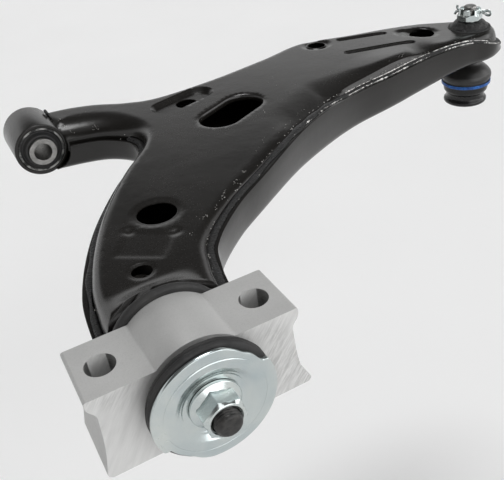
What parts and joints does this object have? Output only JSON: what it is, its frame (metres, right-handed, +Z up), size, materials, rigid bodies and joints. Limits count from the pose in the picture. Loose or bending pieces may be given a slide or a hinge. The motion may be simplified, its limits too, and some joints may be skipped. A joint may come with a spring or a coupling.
{
  "type": "suspension control arm",
  "caption": "Front lower control arm: welded two-shell steel arm with a rear bush in a bolt-on bracket, a front eye bush and a clamp-in ball joint.",
  "frame": {"origin": "centre of the rear bracket's bolting face", "axes": "+X outboard towards the ball joint, +Y along the pivot axis from the rear bush to the front bush, +Z up with the ball joint's castle nut on top"},
  "size_m": [0.5001, 0.3945, 0.1045],
  "materials": {
    "cast_aluminium": "bare, sawn and milled",
    "black_coated_steel": "satin black dip coat",
    "weld_bead": "coated weld with spatter",
    "zinc_plated_steel": "bright zinc plate",
    "bare_steel": "turned",
    "black_steel": "semi-gloss black",
    "black_rubber": "matte",
    "ivory_plastic": "moulded",
    "blue_band": "blue coated spring band"
  },
  "bodies": {
    "bracket": {"rear_bracket": "cast_aluminium", "rear_bush_outer_sleeve": "bare_steel", "rear_bush_rubber": "black_rubber"},
    "arm": {"lower_shell": "black_coated_steel", "upper_shell": "black_coated_steel", "seam_weld_outboard": "weld_bead", "seam_weld_front": "weld_bead", "seam_weld_inboard": "weld_bead", "front_eye_tube": "black_coated_steel", "eye_weld_upper": "weld_bead", "eye_weld_lower": "weld_bead", "front_bush_outer_sleeve": "bare_steel", "front_bush_rubber": "black_rubber", "rear_bush_inner_sleeve": "bare_steel", "rear_stop_washer": "black_steel", "rear_pin": "black_steel", "pin_support_tube": "black_coated_steel", "cupped_washer": "zinc_plated_steel", "flange_nut": "zinc_plated_steel", "ball_joint_boss": "black_coated_steel", "boss_weld": "weld_bead", "ball_stud": "bare_steel", "castle_nut": "zinc_plated_steel", "cotter_pin": "zinc_plated_steel"},
    "front_sleeve": {"front_bush_inner_sleeve": "bare_steel"},
    "boot_neck": {"boot_clip_upper": "blue_band"},
    "boot_gimbal": {"dust_boot": "black_rubber"},
    "housing": {"ball_housing": "black_steel", "bearing_liner": "ivory_plastic", "preload_washer": "bare_steel", "closing_plate": "black_steel", "boot_clip_lower": "blue_band"}
  },
  "joints": [
    {"name": "arm_pivot", "type": "hinge", "parent": "bracket", "child": "arm", "pos_m": [0, 0, 0.03], "axis": [0, 1, 0], "range_deg": [-20, 20], "stiffness_Nm_per_rad": 230},
    {"name": "front_bush_twist", "type": "hinge", "parent": "arm", "child": "front_sleeve", "pos_m": [0, 0.317, 0.03], "axis": [0, 1, 0], "range_deg": [-20, 20]},
    {"name": "ball_spin", "type": "hinge", "parent": "arm", "child": "boot_neck", "pos_m": [0.4155, 0.258, -0.025], "axis": [0, 0, 1], "continuous": true},
    {"name": "ball_tilt_x", "type": "hinge", "parent": "boot_neck", "child": "boot_gimbal", "pos_m": [0.4155, 0.258, -0.025], "axis": [1, 0, 0], "range_deg": [-20, 20], "deforming": ["dust_boot"]},
    {"name": "ball_tilt_y", "type": "hinge", "parent": "boot_gimbal", "child": "housing", "pos_m": [0.4155, 0.258, -0.025], "axis": [0, 1, 0], "range_deg": [-20, 20], "deforming": ["dust_boot"]}
  ],
  "couplings": [
    {"joint": "front_bush_twist", "follows": "arm_pivot", "ratio": -1}
  ]
}
